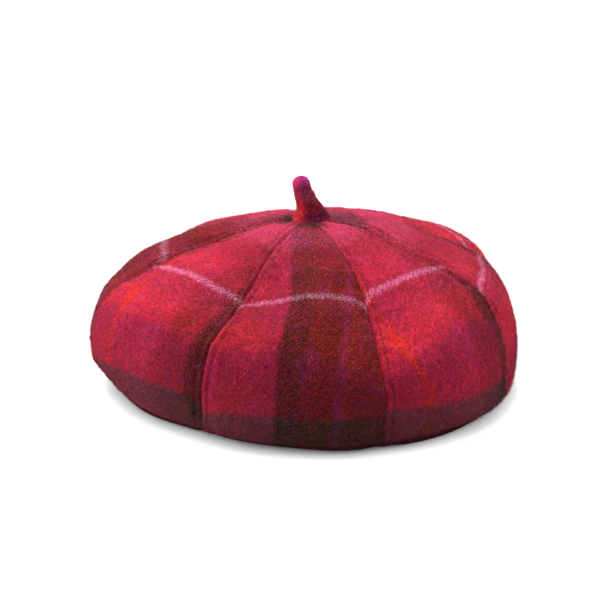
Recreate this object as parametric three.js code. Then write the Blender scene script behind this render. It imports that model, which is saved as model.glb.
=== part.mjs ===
// A tam o shanter: eight puffed gores of brushed wool, a horn of the same cloth in the middle of
// the crown and a black band round the head opening. Millimetres, +Z up, front towards -Y, set down
// on the plane z = 0. Left and right are those of a viewer who looks along +Y.
import * as THREE from 'three';
import { mergeVertices } from 'three/addons/utils/BufferGeometryUtils.js';

// Driving dimensions
const CROWN_RADIUS = 134;
const CROWN_HEIGHT = 106;
const OPENING_RADIUS = 92;
const CLOTH_THICKNESS = 2;
const PUFF_DEPTH = 10;
const STALK_RING_RADIUS = 11;
const STALK_HEIGHT = 28;
const STALK_LEAN = 6;
const TOP_SHIFT = 1.5;
const BAND_WIDTH = 25;
const BAND_THICKNESS = 1.2;
const PIECE_GAP = 0.3;
const CROWN_TURN_DEG = -5.5;

// How finely the cloth is faceted, and the share of a gore's length over which its slope is taken
const FACE_STEP = 0.02;
const GORE_COLUMNS = 10;
const STALK_SIDES = 20;
const BAND_SIDES = 64;
// Rows of facets down a gore: over the crown, round the foot and along the flat underside
const GORE_ROWS = [
  { from: 0, to: 0.66, rows: 15 },
  { from: 0.66, to: 0.9, rows: 9 },
  { from: 0.9, to: 1, rows: 2 },
];

// The profile that all seams share, from the ring round the stalk out and down to the foot: down
// is the share of the gore's length, out the share of the way from the stalk ring to the crown's
// radius, and up the share of the crown's height.
const SEAM_PROFILE = [
  { down: 0.0, out: 0.0, up: 1.0 },
  { down: 0.12, out: 0.31, up: 0.925 },
  { down: 0.26, out: 0.575, up: 0.8 },
  { down: 0.4, out: 0.795, up: 0.66 },
  { down: 0.52, out: 1.0, up: 0.465 },
  { down: 0.62, out: 0.96, up: 0.28 },
  { down: 0.72, out: 0.86, up: 0.135 },
  { down: 0.8, out: 0.835, up: 0.045 },
];
// Past the foot the cloth turns in and lies flat: inward is the share of the way from the foot to
// the head opening.
const HEM_PROFILE = [
  { down: 0.88, inward: 0.22 },
  { down: 1.0, inward: 1.0 },
];
// The cloth is too thick to crease, so the profile is averaged over this share to either side.
const PROFILE_ROUNDING = 0.06;

// How each seam strays from the even eighths at SEAM_PLACES, which are shares of the gore's
// length: turn in degrees round the crown, out as a share of the profile's radius, and lift as a
// share of the crown's height. Seam n is on the left of gore n.
const SEAM_PLACES = [0, 0.3, 0.5, 0.68, 0.85, 1];
const SEAMS = [
  {
    name: 'front left',
    turn: [0, 4.5, 2.5, -1, -6, -6],
    out: [0, 0, 0.01, 0.04, 0.05, 0],
    lift: [0, -0.005, 0.1, 0.025, 0, 0],
  },
  {
    name: 'front right',
    turn: [0, 4.5, 1, 2.5, 4, 3],
    out: [0, -0.12, 0.03, 0.08, 0.08, 0],
    lift: [0, 0.06, 0.03, 0.065, 0, 0],
  },
  {
    name: 'right',
    turn: [0, 0.5, -1.5, 3.5, 9, 7],
    out: [0, 0.07, -0.01, 0.06, 0.07, 0],
    lift: [0, 0.055, 0.115, -0.11, 0, 0],
  },
  {
    name: 'far right',
    turn: [0, 0, 3, 0, 0, 0],
    out: [0, 0.005, -0.04, 0.02, 0.02, 0],
    lift: [0, 0.01, 0.045, 0.015, 0, 0],
  },
  {
    name: 'back right',
    turn: [0, -1, -2, 0, 0, 0],
    out: [0, 0, 0.02, 0, 0, 0],
    lift: [0, 0, 0.04, 0, 0, 0],
  },
  {
    name: 'back left',
    turn: [0, 0, 0, 0, 0, 0],
    out: [0, 0, 0, 0, 0, 0],
    lift: [0, -0.055, 0.015, 0, 0, 0],
  },
  {
    name: 'far left',
    turn: [0, 1, 3, 0, 0, 0],
    out: [0, 0.02, -0.06, 0, 0, 0],
    lift: [0, -0.02, -0.03, 0, 0, 0],
  },
  {
    name: 'left',
    turn: [0, 0, 1.5, -3.5, -5, -4],
    out: [0, -0.01, 0.01, 0.09, 0.07, 0],
    lift: [0, 0.055, 0.115, 0, 0, 0],
  },
];

// The gores, anticlockwise from the front as seen from above. swell is how far the middle of the
// gore stands proud of its seams at GORE_PLACES, as a share of the puff's depth; below 0 it is
// dented. cloth says which of the two cuts of the plaid it is.
const GORE_PLACES = [0, 0.15, 0.35, 0.55, 0.75, 0.9, 1];
const GORES = [
  { name: 'gore_front', cloth: 'brown_striped', swell: [0, 0.1, 0.45, -0.15, 0.3, 0, 0] },
  { name: 'gore_front_right', cloth: 'red_striped', swell: [0, 0.15, 0.3, 0.75, 0.4, 0.2, 0] },
  { name: 'gore_right', cloth: 'brown_striped', swell: [0, 0.35, 0.15, -0.35, 0.55, 0.2, 0] },
  { name: 'gore_back_right', cloth: 'red_striped', swell: [0, 0.2, 0.55, 0.9, 0.5, 0.2, 0] },
  { name: 'gore_back', cloth: 'brown_striped', swell: [0, 0.15, 0.6, 0.6, 0.5, 0.2, 0] },
  { name: 'gore_back_left', cloth: 'red_striped', swell: [0, 0.3, 0.45, 0.6, 0.5, 0.2, 0] },
  { name: 'gore_left', cloth: 'brown_striped', swell: [0, 0.3, 0.45, -0.1, 0.4, 0.2, 0] },
  { name: 'gore_front_left', cloth: 'red_striped', swell: [0, 0.3, 0.6, 0.1, -0.3, 0, 0] },
];
const GORE_ANGLE_DEG = 360 / GORES.length;

// The stalk from its foot in the ring to its round tip: up is the share of its height, out the
// share of its foot's radius, and lean the share of how far the tip leans to the left.
const STALK_SECTIONS = [
  { up: 0.0, out: 1.0, lean: 0 },
  { up: 0.1, out: 0.93, lean: -0.1 },
  { up: 0.25, out: 0.78, lean: 0.05 },
  { up: 0.43, out: 0.66, lean: 0.35 },
  { up: 0.7, out: 0.53, lean: 0.8 },
  { up: 0.86, out: 0.46, lean: 0.97 },
  { up: 0.95, out: 0.32, lean: 1 },
  { up: 1.0, out: 0.0, lean: 1 },
];

// Colour, roughness and metalness of each cloth
const CLOTHS = {
  red_striped: { color: 0xb0233c, roughness: 0.95, metalness: 0 },
  brown_striped: { color: 0x7c2430, roughness: 0.95, metalness: 0 },
  heather: { color: 0x4a1a2c, roughness: 0.95, metalness: 0 },
  band: { color: 0x0c0b0d, roughness: 0.7, metalness: 0 },
};

const radians = THREE.MathUtils.degToRad;
const mix = THREE.MathUtils.lerp;

// A smooth curve through values at places that never overshoots them; returns the value and the
// slope at a place.
function smoothCurve(places, values) {
  const steps = places.slice(1).map((place, k) => place - places[k]);
  const rises = steps.map((step, k) => (values[k + 1] - values[k]) / step);
  const slopes = values.map((value, k) => {
    if (k === 0) return endSlope(steps[0], steps[1], rises[0], rises[1]);
    if (k === values.length - 1) return endSlope(steps.at(-1), steps.at(-2), rises.at(-1), rises.at(-2));
    if (rises[k - 1] * rises[k] <= 0) return 0;
    const before = 2 * steps[k] + steps[k - 1];
    const after = steps[k] + 2 * steps[k - 1];
    return (before + after) / (before / rises[k - 1] + after / rises[k]);
  });
  return (place) => {
    const found = places.findIndex((end, k) => k > 0 && place <= end);
    const k = (found < 0 ? places.length - 1 : found) - 1;
    const t = (place - places[k]) / steps[k];
    const bend = slopes[k] + slopes[k + 1] - 2 * rises[k];
    const turn = 3 * rises[k] - 2 * slopes[k] - slopes[k + 1];
    return {
      value: values[k] + steps[k] * t * (slopes[k] + t * (turn + t * bend)),
      slope: slopes[k] + t * (2 * turn + 3 * t * bend),
    };
  };
}

function endSlope(step, nextStep, rise, nextRise) {
  const slope = ((2 * step + nextStep) * rise - step * nextRise) / (step + nextStep);
  if (slope * rise <= 0) return 0;
  if (rise * nextRise <= 0 && Math.abs(slope) > 3 * Math.abs(rise)) return 3 * rise;
  return slope;
}

// The same curve averaged over PROFILE_ROUNDING, and less near its ends, which stay where they are
function softened(curve) {
  const shares = [-1, -0.5, 0, 0.5, 1];
  return (place) => {
    const reach = Math.min(PROFILE_ROUNDING, place, 1 - place);
    const samples = shares.map((share) => curve(place + share * reach));
    const average = (key) => samples.reduce((sum, sample) => sum + sample[key], 0) / samples.length;
    return { value: average('value'), slope: average('slope') };
  };
}

// The profile that the seams share
const footRadius = mix(STALK_RING_RADIUS, CROWN_RADIUS, SEAM_PROFILE.at(-1).out);
const profileRows = [
  ...SEAM_PROFILE.map(({ down, out, up }) => (
    { down, radius: mix(STALK_RING_RADIUS, CROWN_RADIUS, out), height: up * CROWN_HEIGHT }
  )),
  ...HEM_PROFILE.map(({ down, inward }) => (
    { down, radius: mix(footRadius, OPENING_RADIUS, inward), height: 0 }
  )),
];
const FOOT_START = SEAM_PROFILE.at(-2).down;
const STRAIGHT_DOWN = new THREE.Vector2(0, -1);
const profilePlaces = profileRows.map((row) => row.down);
const profileRadius = softened(smoothCurve(profilePlaces, profileRows.map((row) => row.radius)));
const profileHeight = softened(smoothCurve(profilePlaces, profileRows.map((row) => row.height)));

const seamCurves = SEAMS.map((seam, index) => ({
  turn: smoothCurve(
    SEAM_PLACES,
    seam.turn.map((stray) => CROWN_TURN_DEG + (index - 0.5) * GORE_ANGLE_DEG + stray),
  ),
  out: smoothCurve(SEAM_PLACES, seam.out),
  lift: smoothCurve(SEAM_PLACES, seam.lift),
}));
const swellCurves = GORES.map((gore) => smoothCurve(GORE_PLACES, gore.swell));

// A point of a gore's outer face as an angle round the crown, a radius and a height: down is 0 at
// the stalk ring and 1 at the head opening, across is -1 on its left seam and 1 on its right one.
function gorePlace(index, down, across) {
  const radius = profileRadius(down);
  const height = profileHeight(down);
  const length = Math.hypot(radius.slope, height.slope);
  const left = seamCurves[index];
  const right = seamCurves[(index + 1) % SEAMS.length];
  const share = (across + 1) / 2;
  const edgeGap = THREE.MathUtils.radToDeg(PIECE_GAP / 2 / radius.value);
  const turnLeft = left.turn(down).value + edgeGap;
  const turnRight = right.turn(down).value - edgeGap + (index + 1 < SEAMS.length ? 0 : 360);
  const out = 1 + mix(left.out(down).value, right.out(down).value, share);
  const lift = CROWN_HEIGHT * mix(left.lift(down).value, right.lift(down).value, share);
  const swell = PUFF_DEPTH * swellCurves[index](down).value * (1 - across ** 2);
  const raised = height.value + lift + (swell * radius.slope) / length;
  return {
    angle: radians(mix(turnLeft, turnRight, share)),
    radius: radius.value * out - (swell * height.slope) / length,
    // Nothing sinks below the surface that the hat rests on: the cloth lies flat on it.
    height: Math.max(raised, 0),
    shift: topShiftAt(radius.value),
  };
}

// A point of a gore's outer face, or of its inner face, one cloth deep square to the outer one.
// Round the stalk the cloth's edge is cut upright, and past the start of the foot its outer face
// turns evenly to face straight down at the head opening.
function gorePoint(index, down, across, depth) {
  const place = gorePlace(index, down, across);
  const facing = Math.min(down, FOOT_START);
  const above = gorePlace(index, Math.max(facing - FACE_STEP, 0), across);
  const below = gorePlace(index, facing + FACE_STEP, across);
  const outward = new THREE.Vector2(above.height - below.height, below.radius - above.radius);
  if (down === 0) outward.set(0, 1);
  outward.normalize().lerp(STRAIGHT_DOWN, (down - facing) / (1 - FOOT_START));
  outward.setLength(depth);
  const radius = place.radius - outward.x;
  return new THREE.Vector3(
    radius * Math.sin(place.angle) + place.shift,
    -radius * Math.cos(place.angle),
    Math.max(place.height - outward.y, depth),
  );
}

// The top of the crown sits a little to the right of its foot.
function topShiftAt(radius) {
  return TOP_SHIFT * Math.exp(-((radius / (CROWN_RADIUS / 3)) ** 2));
}

// A closed wall of cloth whose outer face is at depth 0 and whose inner face is one cloth deep
function clothWall(pointAt) {
  const places = [0];
  for (const { from, to, rows } of GORE_ROWS) {
    for (let row = 1; row <= rows; row += 1) places.push(mix(from, to, row / rows));
  }
  const lastRow = places.length - 1;
  const stride = GORE_COLUMNS + 1;
  const positions = [];
  for (const depth of [0, CLOTH_THICKNESS]) {
    for (const down of places) {
      for (let column = 0; column < stride; column += 1) {
        positions.push(...pointAt(down, (2 * column) / GORE_COLUMNS - 1, depth));
      }
    }
  }
  const outer = (row, column) => row * stride + column;
  const inner = (row, column) => places.length * stride + outer(row, column);
  const triangles = [];
  const quad = (a, b, c, d) => triangles.push(a, b, c, a, c, d);
  for (let row = 0; row < lastRow; row += 1) {
    const next = row + 1;
    for (let column = 0; column < GORE_COLUMNS; column += 1) {
      quad(outer(row, column), outer(next, column), outer(next, column + 1), outer(row, column + 1));
      quad(inner(row, column), inner(row, column + 1), inner(next, column + 1), inner(next, column));
    }
    quad(outer(row, 0), inner(row, 0), inner(next, 0), outer(next, 0));
    quad(
      outer(row, GORE_COLUMNS),
      outer(next, GORE_COLUMNS),
      inner(next, GORE_COLUMNS),
      inner(row, GORE_COLUMNS),
    );
  }
  for (let column = 0; column < GORE_COLUMNS; column += 1) {
    const next = column + 1;
    quad(outer(0, column), outer(0, next), inner(0, next), inner(0, column));
    quad(outer(lastRow, column), inner(lastRow, column), inner(lastRow, next), outer(lastRow, next));
  }
  const geometry = new THREE.BufferGeometry();
  geometry.setAttribute('position', new THREE.Float32BufferAttribute(positions, 3));
  geometry.setIndex(triangles);
  geometry.computeVertexNormals();
  return geometry;
}

function clothMesh(name, geometry, cloth) {
  const mesh = new THREE.Mesh(geometry, new THREE.MeshStandardMaterial(CLOTHS[cloth]));
  mesh.name = name;
  return mesh;
}

function gore(index) {
  const { name, cloth } = GORES[index];
  return clothMesh(name, clothWall((down, across, depth) => gorePoint(index, down, across, depth)), cloth);
}

// The stalk is turned about its own axis and then leant; its foot goes through the crown's cloth.
function stalk() {
  const radiusInRing = STALK_RING_RADIUS - PIECE_GAP;
  const outline = [
    new THREE.Vector2(0, -CLOTH_THICKNESS),
    new THREE.Vector2(radiusInRing, -CLOTH_THICKNESS),
    ...STALK_SECTIONS.map(({ up, out }) => new THREE.Vector2(out * radiusInRing, up * STALK_HEIGHT)),
  ];
  const lathe = new THREE.LatheGeometry(outline, STALK_SIDES);
  lathe.rotateX(Math.PI / 2);
  lathe.deleteAttribute('normal');
  lathe.deleteAttribute('uv');
  const geometry = mergeVertices(lathe);
  const lean = smoothCurve(
    STALK_SECTIONS.map((section) => section.up),
    STALK_SECTIONS.map((section) => section.lean),
  );
  const position = geometry.getAttribute('position');
  for (let k = 0; k < position.count; k += 1) {
    const up = Math.max(position.getZ(k) / STALK_HEIGHT, 0);
    position.setX(k, position.getX(k) - STALK_LEAN * lean(Math.min(up, 1)).value);
  }
  geometry.computeVertexNormals();
  const mesh = clothMesh('stalk', geometry, 'heather');
  mesh.position.set(topShiftAt(STALK_RING_RADIUS), 0, CROWN_HEIGHT);
  return mesh;
}

// A flat ribbon stood on edge inside the gores' inner edges
function headband() {
  const outerRadius = OPENING_RADIUS - PIECE_GAP;
  const innerRadius = outerRadius - BAND_THICKNESS;
  const outline = [
    new THREE.Vector2(innerRadius, 0),
    new THREE.Vector2(outerRadius, 0),
    new THREE.Vector2(outerRadius, BAND_WIDTH),
    new THREE.Vector2(innerRadius, BAND_WIDTH),
    new THREE.Vector2(innerRadius, 0),
  ];
  const geometry = new THREE.LatheGeometry(outline, BAND_SIDES);
  geometry.rotateX(Math.PI / 2);
  return clothMesh('headband', geometry, 'band');
}

const tam = new THREE.Group();
GORES.forEach((row, index) => tam.add(gore(index)));
tam.add(stalk(), headband());

// The origin is the middle of the box round the hat, on the surface that the hat rests on.
const bounds = new THREE.Box3().setFromObject(tam);
const middle = bounds.getCenter(new THREE.Vector3());
tam.position.set(-middle.x, -middle.y, -bounds.min.z);
tam.updateMatrixWorld(true);

export default tam;
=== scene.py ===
# The looks of a tam o shanter: eight sewn gores of brushed wool plaid with topstitched seams, a
# horn of the same cloth on top and a black ribbon band round the head opening. Metres, +Z up,
# front towards -Y. Left and right are those of a viewer who looks along +Y.
import math

import bmesh
import bpy
import numpy as np
from mathutils import Matrix, Vector


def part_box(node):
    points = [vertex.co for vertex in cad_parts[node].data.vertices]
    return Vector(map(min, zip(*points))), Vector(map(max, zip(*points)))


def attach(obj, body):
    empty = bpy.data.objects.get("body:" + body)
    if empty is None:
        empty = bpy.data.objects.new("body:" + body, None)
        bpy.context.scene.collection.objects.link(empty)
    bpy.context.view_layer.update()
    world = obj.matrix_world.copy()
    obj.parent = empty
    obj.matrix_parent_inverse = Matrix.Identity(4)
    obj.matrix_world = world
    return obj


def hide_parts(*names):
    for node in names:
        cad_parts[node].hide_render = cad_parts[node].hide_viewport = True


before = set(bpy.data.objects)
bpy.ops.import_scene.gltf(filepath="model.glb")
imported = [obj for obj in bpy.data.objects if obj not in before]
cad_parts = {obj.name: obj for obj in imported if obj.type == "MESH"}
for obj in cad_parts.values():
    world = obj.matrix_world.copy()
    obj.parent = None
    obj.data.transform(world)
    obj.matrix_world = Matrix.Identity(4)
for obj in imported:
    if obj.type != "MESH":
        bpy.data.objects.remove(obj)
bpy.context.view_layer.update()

MM = 0.001

# The image that the camera is set up for, in pixels
IMAGE_SIZE = (597, 603)

# Sizes read from the frame
band_low, band_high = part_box("headband")
stalk_low, stalk_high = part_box("stalk")
PIECE_GAP = 0.3 * MM
CLOTH_THICKNESS = 2 * MM
OPENING_CENTRE = np.array([(band_low[0] + band_high[0]) / 2, (band_low[1] + band_high[1]) / 2])
OPENING_RADIUS = (band_high[0] - band_low[0]) / 2 + PIECE_GAP
CROWN_HEIGHT = stalk_low[2] + CLOTH_THICKNESS
STALK_HEIGHT = stalk_high[2] - CROWN_HEIGHT

# The crown's own sizes, as the frame's gores have them
CROWN_RADIUS = 134 * MM
PUFF_DEPTH = 10 * MM
STALK_RING_RADIUS = 11 * MM
STALK_LEAN = 6 * MM
TOP_SHIFT = 1.5 * MM
BAND_THICKNESS = 1.2 * MM
CROWN_TURN_DEG = -5.5

# The profile that all seams share, from the ring round the stalk out and down to the foot: down
# is the share of the gore's length, out the share of the way from the stalk ring to the crown's
# radius, and up the share of the crown's height.
SEAM_PROFILE = [
    {"down": 0.0, "out": 0.0, "up": 1.0},
    {"down": 0.12, "out": 0.31, "up": 0.925},
    {"down": 0.26, "out": 0.575, "up": 0.8},
    {"down": 0.4, "out": 0.795, "up": 0.66},
    {"down": 0.52, "out": 1.0, "up": 0.465},
    {"down": 0.62, "out": 0.96, "up": 0.28},
    {"down": 0.72, "out": 0.86, "up": 0.135},
    {"down": 0.8, "out": 0.835, "up": 0.045},
]
# Past the foot the cloth turns in and lies flat: inward is the share of the way from the foot to
# the head opening.
HEM_PROFILE = [
    {"down": 0.88, "inward": 0.22},
    {"down": 1.0, "inward": 1.0},
]
PROFILE_ROUNDING = 0.06

# How each seam strays from the even eighths at SEAM_PLACES: turn in degrees, out as a share of
# the profile's radius and lift as a share of the crown's height. fill is how far the cloth beside
# the seam is puffed up half way down it, in millimetres. Seam n is on the left of gore n.
SEAM_PLACES = [0, 0.3, 0.5, 0.68, 0.85, 1]
SEAMS = [
    {"name": "front left", "turn": [0, 4.5, 2.5, -1, -6, -6],
     "out": [0, 0, 0.01, 0.04, 0.05, 0], "lift": [0, -0.005, 0.1, 0.025, 0, 0], "fill": 4.2},
    {"name": "front right", "turn": [0, 4.5, 1, 2.5, 4, 3],
     "out": [0, -0.12, 0.03, 0.08, 0.08, 0], "lift": [0, 0.06, 0.03, 0.065, 0, 0], "fill": 2},
    {"name": "right", "turn": [0, 0.5, -1.5, 3.5, 9, 7],
     "out": [0, 0.07, -0.01, 0.06, 0.07, 0], "lift": [0, 0.055, 0.115, -0.11, 0, 0]},
    {"name": "far right", "turn": [0, 0, 3, 0, 0, 0],
     "out": [0, 0.005, -0.04, 0.02, 0.02, 0], "lift": [0, 0.01, 0.045, 0.015, 0, 0]},
    {"name": "back right", "turn": [0, -1, -2, 0, 0, 0],
     "out": [0, 0, 0.02, 0, 0, 0], "lift": [0, 0, 0.04, 0, 0, 0]},
    {"name": "back left", "turn": [0, 0, 0, 0, 0, 0],
     "out": [0, 0, 0, 0, 0, 0], "lift": [0, -0.055, 0.015, 0, 0, 0]},
    {"name": "far left", "turn": [0, 1, 3, 0, 0, 0],
     "out": [0, 0.02, -0.06, 0, 0, 0], "lift": [0, -0.02, -0.03, 0, 0, 0]},
    {"name": "left", "turn": [0, 0, 1.5, -3.5, -5, -4],
     "out": [0, -0.01, 0.01, 0.09, 0.07, 0], "lift": [0, 0.055, 0.115, 0, 0, 0]},
]

# The gores, anticlockwise from the front as seen from above. swell is how far the middle of the
# gore stands proud of its seams at GORE_PLACES, as a share of the puff's depth. slot is the cut of
# the plaid, and drift how far its stripes stray to the right at DRIFT_PLACES, in millimetres.
# lower is how much further down the cloth its stripes lie at the pale stripe's left and right ends
# and at the dark band's, arch how much higher the pale stripe lies in the gore's middle, and edge
# the width of the brown edge that shows beside its left seam down to EDGE_END.
GORE_PLACES = [0, 0.15, 0.35, 0.55, 0.75, 0.9, 1]
DRIFT_PLACES = [0, 80, 110, 160, 240]
RED = "plaid_red_warp"
BROWN = "plaid_brown_warp"
STRAIGHT = [0, 0, 0, 0, 0]
PALE_TO_BAND = 81 * MM
# How high above the floor the painted shade at the hem reaches, and how far down the cloth map it
# moves the lowest rim
PAINTED_HEM_SHADE_HEIGHT = 6 * MM
PAINTED_HEM_SHADE_SHIFT = 60 * MM
EDGE_END = 84 * MM
EDGE_FADE = 16.8 * MM
EDGE_SHIFT = 60 * MM
GORES = [
    {"name": "gore_front", "slot": BROWN, "drift": STRAIGHT, "lower": [2, 7, 0, 3],
     "arch": 5,
     "swell": [0, 0.1, 0.45, -0.15, 0.3, 0, 0]},
    {"name": "gore_front_right", "slot": RED, "drift": [-5, -6, -7, 0, 2],
     "lower": [4, -12, 11, 2],
     "swell": [0, 0.15, 0.3, 0.75, 0.4, 0.2, 0]},
    {"name": "gore_right", "slot": BROWN, "drift": [22, 22, 22, 22, 22],
     "lower": [18, 18, 18, 18],
     "swell": [0, 0.35, 0.15, -0.35, 0.55, 0.2, 0]},
    {"name": "gore_back_right", "slot": RED, "drift": STRAIGHT, "lower": [18, 18, 18, 18],
     "swell": [0, 0.2, 0.55, 0.9, 0.5, 0.2, 0]},
    {"name": "gore_back", "slot": BROWN, "drift": STRAIGHT,
     "swell": [0, 0.15, 0.6, 0.6, 0.5, 0.2, 0]},
    {"name": "gore_back_left", "slot": RED, "drift": STRAIGHT,
     "swell": [0, 0.3, 0.45, 0.6, 0.5, 0.2, 0]},
    {"name": "gore_left", "slot": BROWN, "drift": STRAIGHT,
     "swell": [0, 0.3, 0.45, -0.1, 0.4, 0.2, 0]},
    {"name": "gore_front_left", "slot": RED, "drift": [-2, -3, 3, 6, 8], "edge": 8,
     "lower": [4, 0, 0, 0],
     "swell": [0, 0.3, 0.6, 0.1, -0.3, 0, 0]},
]
GORE_ANGLE_DEG = 360 / len(GORES)

# The stalk from its foot to its round tip, as shares of its height, foot radius and lean
STALK_SECTIONS = [
    {"up": 0.0, "out": 1.0, "lean": 0},
    {"up": 0.1, "out": 0.93, "lean": -0.1},
    {"up": 0.25, "out": 0.78, "lean": 0.05},
    {"up": 0.43, "out": 0.66, "lean": 0.35},
    {"up": 0.7, "out": 0.53, "lean": 0.8},
    {"up": 0.86, "out": 0.46, "lean": 0.97},
    {"up": 0.95, "out": 0.32, "lean": 1},
    {"up": 1.0, "out": 0.0, "lean": 1},
]

# Relief of the sewn cloth
SEAM_DEPTH = 0.9 * MM
SEAM_HALF_WIDTH = 1.0 * MM
STITCH_OFFSET = 4.3 * MM
STITCH_PITCH = 3.4 * MM
GROOVE_DEPTH = 0.9 * MM
GROOVE_HALF_WIDTH = 1.15 * MM
GROOVE_UNEVEN = 0.3
PUCKER_HEIGHT = 0.45 * MM
PUCKER_LENGTH = 9 * MM
PUCKER_REACH = 9 * MM
ROLL_HEIGHT = 0.7 * MM
ROLL_FADE = 20 * MM
SEAM_FADE = 14 * MM
SEAM_LEAST = 0.15
FILL_PLACE = 66 * MM
FILL_LENGTH = 38 * MM
FILL_REACH = 12 * MM
SEAM_BLEND = 3 * MM
RING_NOTCH_DEPTH = 0.5 * MM
RING_NOTCH_LENGTH = 1.5 * MM

# How finely a gore is meshed: rows down it, columns beside each seam and over its middle. Each is
# a multiple of INNER_STEP, because the inner face takes every third row and column.
INNER_STEP = 3
GORE_ROWS = 246
SEAM_COLUMNS = 12
MIDDLE_COLUMNS = 48
SEAM_ZONE = 7 * MM
# A strip beside a seam is never wider than this share of the gore's half width.
STRIP_MOST = 0.45

# The cloth map is in tenths of a metre.
MAP_PER_METRE = 10
MM_PER_MAP = 1000 / MAP_PER_METRE


def smooth_curve(places, values):
    """A smooth curve that never overshoots its values: gives the value and the slope at places."""
    places = np.asarray(places, float)
    values = np.asarray(values, float)
    steps = np.diff(places)
    rises = np.diff(values) / steps
    slopes = np.zeros(len(values))
    slopes[0] = end_slope(steps[0], steps[1], rises[0], rises[1])
    slopes[-1] = end_slope(steps[-1], steps[-2], rises[-1], rises[-2])
    for k in range(1, len(values) - 1):
        if rises[k - 1] * rises[k] > 0:
            before = 2 * steps[k] + steps[k - 1]
            after = steps[k] + 2 * steps[k - 1]
            slopes[k] = (before + after) / (before / rises[k - 1] + after / rises[k])

    def curve(place):
        place = np.asarray(place, float)
        k = np.clip(np.searchsorted(places, place, side="left") - 1, 0, len(steps) - 1)
        t = (place - places[k]) / steps[k]
        bend = slopes[k] + slopes[k + 1] - 2 * rises[k]
        turn = 3 * rises[k] - 2 * slopes[k] - slopes[k + 1]
        value = values[k] + steps[k] * t * (slopes[k] + t * (turn + t * bend))
        slope = slopes[k] + t * (2 * turn + 3 * t * bend)
        return value, slope

    return curve


def end_slope(step, next_step, rise, next_rise):
    slope = ((2 * step + next_step) * rise - step * next_rise) / (step + next_step)
    if slope * rise <= 0:
        return 0
    if rise * next_rise <= 0 and abs(slope) > 3 * abs(rise):
        return 3 * rise
    return slope


def softened(curve):
    """The same curve averaged over PROFILE_ROUNDING, and less near its ends."""

    def average(place):
        reach = np.minimum(PROFILE_ROUNDING, np.minimum(place, 1 - place))
        samples = [curve(place + share * reach) for share in (-1, -0.5, 0, 0.5, 1)]
        value = sum(sample[0] for sample in samples) / len(samples)
        slope = sum(sample[1] for sample in samples) / len(samples)
        return value, slope

    return average


def mix(a, b, share):
    return a + (b - a) * share


def unit(vectors):
    """The vectors at length one."""
    return vectors / np.linalg.norm(vectors, axis=-1, keepdims=True)


# The profile that the seams share
foot_radius = mix(STALK_RING_RADIUS, CROWN_RADIUS, SEAM_PROFILE[-1]["out"])
profile_places = [row["down"] for row in SEAM_PROFILE + HEM_PROFILE]
profile_radii = [mix(STALK_RING_RADIUS, CROWN_RADIUS, row["out"]) for row in SEAM_PROFILE]
profile_radii += [mix(foot_radius, OPENING_RADIUS, row["inward"]) for row in HEM_PROFILE]
profile_heights = [row["up"] * CROWN_HEIGHT for row in SEAM_PROFILE] + [0 for row in HEM_PROFILE]
profile_radius = softened(smooth_curve(profile_places, profile_radii))
profile_height = softened(smooth_curve(profile_places, profile_heights))
seam_curves = [
    {
        "turn": smooth_curve(
            SEAM_PLACES,
            [CROWN_TURN_DEG + (index - 0.5) * GORE_ANGLE_DEG + stray for stray in seam["turn"]],
        ),
        "out": smooth_curve(SEAM_PLACES, seam["out"]),
        "lift": smooth_curve(SEAM_PLACES, seam["lift"]),
    }
    for index, seam in enumerate(SEAMS)
]
swell_curves = [smooth_curve(GORE_PLACES, gore["swell"]) for gore in GORES]


def top_shift_at(radius):
    return TOP_SHIFT * np.exp(-((radius / (CROWN_RADIUS / 3)) ** 2))


def crown_point(index, down, across):
    """Points of a gore's outer face as the frame has it: down is 0 at the stalk ring and 1 at the
    head opening, across is -1 on its left seam and 1 on its right one."""
    radius, radius_slope = profile_radius(down)
    height, height_slope = profile_height(down)
    length = np.hypot(radius_slope, height_slope)
    left = seam_curves[index]
    right = seam_curves[(index + 1) % len(SEAMS)]
    share = (across + 1) / 2
    full_turn = 0 if index + 1 < len(SEAMS) else 360
    turn = mix(left["turn"](down)[0], right["turn"](down)[0] + full_turn, share)
    out = 1 + mix(left["out"](down)[0], right["out"](down)[0], share)
    lift = CROWN_HEIGHT * mix(left["lift"](down)[0], right["lift"](down)[0], share)
    swell = PUFF_DEPTH * swell_curves[index](down)[0] * (1 - across**2)
    angle = np.radians(turn)
    out_radius = radius * out - swell * height_slope / length
    up = np.maximum(height + lift + swell * radius_slope / length, 0)
    x = OPENING_CENTRE[0] + out_radius * np.sin(angle) + top_shift_at(radius)
    y = OPENING_CENTRE[1] - out_radius * np.cos(angle)
    return np.stack([x, y, up], axis=-1)


def half_width(index, down):
    """Half of a gore's width along its cloth at each row."""
    across = np.linspace(-1, 1, 41)
    points = crown_point(index, down[:, None], across[None, :])
    return np.linalg.norm(np.diff(points, axis=1), axis=2).sum(axis=1) / 2


def column_places(width):
    """across for each row and column: fine beside the seams, even over the middle."""
    zone = np.minimum(SEAM_ZONE, STRIP_MOST * width) / width
    seam_steps = np.linspace(0, 1, SEAM_COLUMNS + 1)
    middle_steps = np.linspace(-1, 1, MIDDLE_COLUMNS + 1)[1:-1]
    left = -1 + zone[:, None] * seam_steps[None, :]
    middle = (1 - zone[:, None]) * middle_steps[None, :]
    return np.concatenate([left, middle, -left[:, ::-1]], axis=1)


def grid_normals(points):
    """Outward unit normals of a grid of points with rows down and columns to the right."""
    normals = np.cross(np.gradient(points, axis=0), np.gradient(points, axis=1))
    return normals / np.maximum(np.linalg.norm(normals, axis=2, keepdims=True), 1e-12)


def cloth_coordinates(points, across, width):
    """Where each point lies on the flat cloth: right of the gore's middle and down from the ring."""
    rows = np.linalg.norm(np.diff(points[:, points.shape[1] // 2], axis=0), axis=1)
    widening = across[1:] * np.diff(width)[:, None]
    steps = np.sqrt(np.maximum(rows[:, None] ** 2 - widening**2, 0))
    down = np.concatenate([np.zeros((1, across.shape[1])), np.cumsum(steps, axis=0)])
    return across * width[:, None], down


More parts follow.
